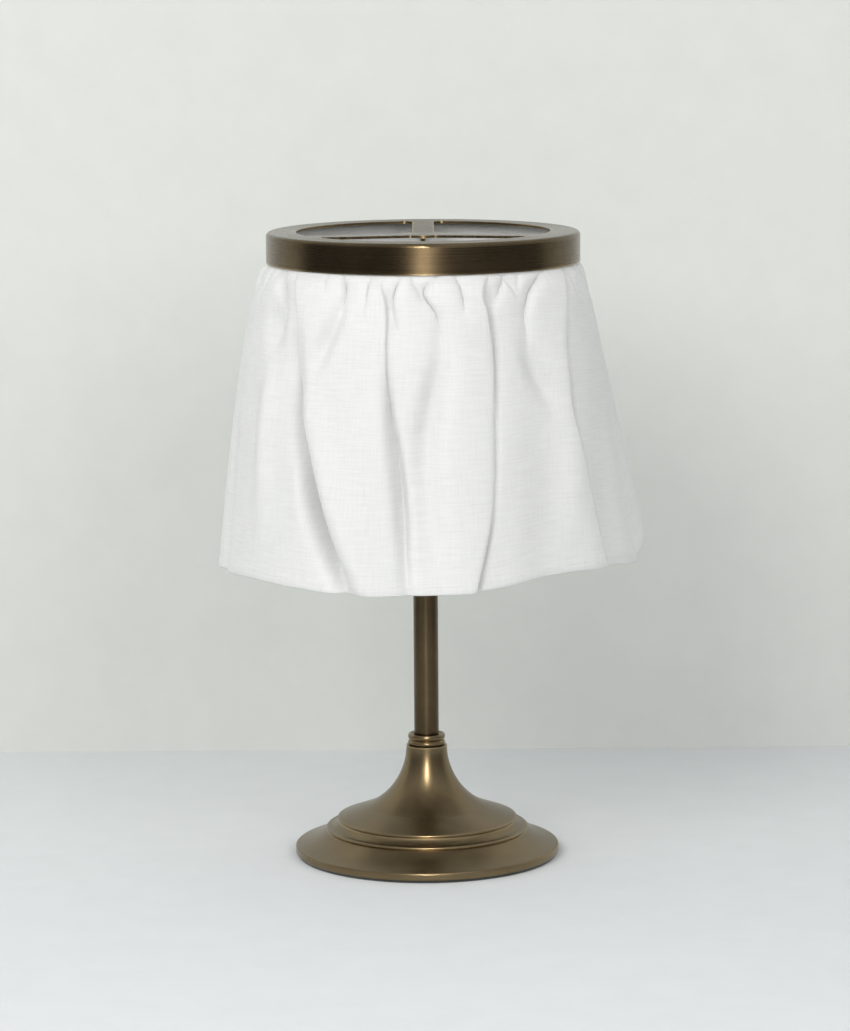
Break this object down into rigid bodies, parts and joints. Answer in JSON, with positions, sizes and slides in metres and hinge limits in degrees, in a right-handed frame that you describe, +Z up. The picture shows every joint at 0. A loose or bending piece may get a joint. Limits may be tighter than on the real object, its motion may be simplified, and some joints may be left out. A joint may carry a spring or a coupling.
{
  "type": "candle lamp",
  "caption": "Table candle lamp: stepped round foot and slim stem under a gathered cloth shade with an open-spoked brass cap; cap, shade and candle lift off.",
  "frame": {"origin": "centre of the underside of the felt, on the table", "axes": "+Z up along the stem, -Y towards the viewer of the picture, +X to that viewer's right"},
  "size_m": [0.2173, 0.2019, 0.32],
  "materials": {
    "antique_brass": "aged and brushed, satin",
    "steel": "zinc plated, satin",
    "cast_iron": "as cast, black",
    "felt": "pressed felt, matt",
    "cotton": "plain weave, slightly slubbed, matt",
    "wax": "smooth wax, soft sheen",
    "wick": "braided cotton"
  },
  "bodies": {
    "stand": {"felt_pad": "felt", "foot": "antique_brass", "weight": "cast_iron", "foot_washer": "steel", "lock_washer": "steel", "foot_nut": "steel", "tie_rod": "steel", "neck_collar": "antique_brass", "stem": "antique_brass", "carrier_hub": "antique_brass", "carrier_arm_1": "antique_brass", "carrier_arm_2": "antique_brass", "carrier_arm_3": "antique_brass", "drip_pan": "antique_brass", "candle_cup": "antique_brass"},
    "shade": {"shade_hoop": "steel", "skirt": "cotton"},
    "cap": {"cap": "antique_brass"},
    "candle": {"candle": "wax", "wick": "wick"}
  },
  "joints": [
    {"name": "shade_lift", "type": "slide", "parent": "stand", "child": "shade", "axis": [0, 0, 1], "range_m": [0, 0.165]},
    {"name": "cap_lift", "type": "slide", "parent": "shade", "child": "cap", "axis": [0, 0, 1], "range_m": [0, 0.02]},
    {"name": "candle_lift", "type": "slide", "parent": "stand", "child": "candle", "axis": [0, 0, 1], "range_m": [0, 0.03]}
  ]
}
